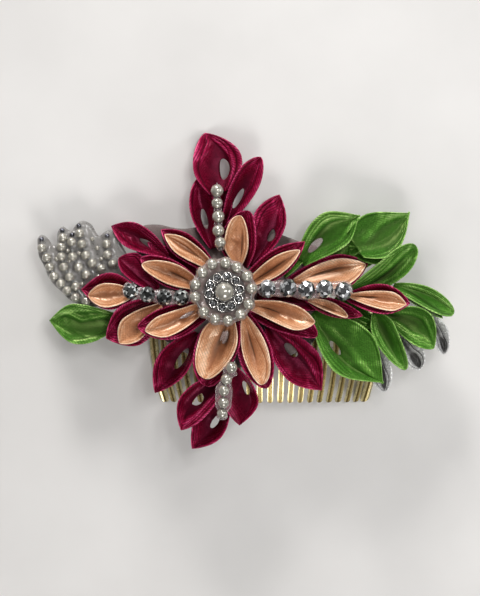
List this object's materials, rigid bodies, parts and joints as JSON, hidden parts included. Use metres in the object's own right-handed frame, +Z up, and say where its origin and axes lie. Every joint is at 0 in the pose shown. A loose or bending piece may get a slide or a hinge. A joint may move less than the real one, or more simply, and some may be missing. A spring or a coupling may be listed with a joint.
{
  "type": "flower hair comb",
  "caption": "Bowed metal hair comb with a spreading flower of folded satin petals, side leaves, strings of pearls and cut beads, and a round pearl brooch in the middle.",
  "frame": {"origin": "middle of the foot of the bounding box of the comb lying on its back, on the tips of the two end teeth and the tip of the top petal", "axes": "+X along the comb, to the side of the leaves; +Y away from the teeth, to the top petal; +Z up, out of the face of the flower"},
  "size_m": [0.1674, 0.1246, 0.0393],
  "materials": {
    "gold_metal": "polished",
    "felt": "felted",
    "clear_sheet": "frosted, translucent",
    "wing_pearl": "pearl",
    "tip_bead": "dark silver",
    "thread": "clear nylon line",
    "glue": "translucent",
    "silver_metal": "polished",
    "rhinestone": "cut, backed",
    "pearl": "pearl",
    "clear_glass": "cut, half silvered",
    "dark_glass": "cut, half silvered",
    "wine_satin": "satin",
    "peach_satin": "satin",
    "green_satin": "satin",
    "silver_ribbon": "metallic glitter"
  },
  "bodies": {
    "root": {"comb": "gold_metal", "felt": "felt", "wing_sheet": "clear_sheet", "wing_pearls": "wing_pearl", "wing_tip_beads": "tip_bead", "threads": "thread", "glue_pad": "glue", "brooch_setting": "silver_metal", "rhinestones": "rhinestone", "middle_pearl": "pearl", "ring_pearls": "pearl", "string_pearls": "pearl", "clear_beads": "clear_glass", "dark_beads": "dark_glass", "single_petal_1": "wine_satin", "single_petal_2": "wine_satin", "single_petal_3": "wine_satin", "single_petal_4": "wine_satin", "single_petal_5": "wine_satin", "single_petal_6": "wine_satin", "single_petal_7": "wine_satin", "single_petal_8": "wine_satin", "single_petal_9": "wine_satin", "single_petal_10": "wine_satin", "single_petal_11": "wine_satin", "outer_petal_1": "wine_satin", "outer_petal_2": "wine_satin", "outer_petal_3": "wine_satin", "outer_petal_4": "wine_satin", "outer_petal_5": "wine_satin", "outer_petal_6": "wine_satin", "outer_petal_7": "wine_satin", "outer_petal_8": "wine_satin", "outer_petal_9": "wine_satin", "outer_petal_10": "wine_satin", "outer_petal_11": "wine_satin", "outer_petal_12": "wine_satin", "outer_petal_13": "wine_satin", "inner_petal_1": "peach_satin", "inner_petal_2": "peach_satin", "inner_petal_3": "peach_satin", "inner_petal_4": "peach_satin", "inner_petal_5": "peach_satin", "inner_petal_6": "peach_satin", "inner_petal_7": "peach_satin", "inner_petal_8": "peach_satin", "inner_petal_9": "peach_satin", "inner_petal_10": "peach_satin", "inner_petal_11": "peach_satin", "inner_petal_12": "peach_satin", "inner_petal_13": "peach_satin", "leaf_1": "green_satin", "leaf_2": "green_satin", "leaf_3": "green_satin", "leaf_4": "green_satin", "leaf_5": "green_satin", "leaf_6": "green_satin", "leaf_7": "green_satin", "leaf_8": "green_satin", "silver_petals": "silver_ribbon"}
  },
  "joints": []
}
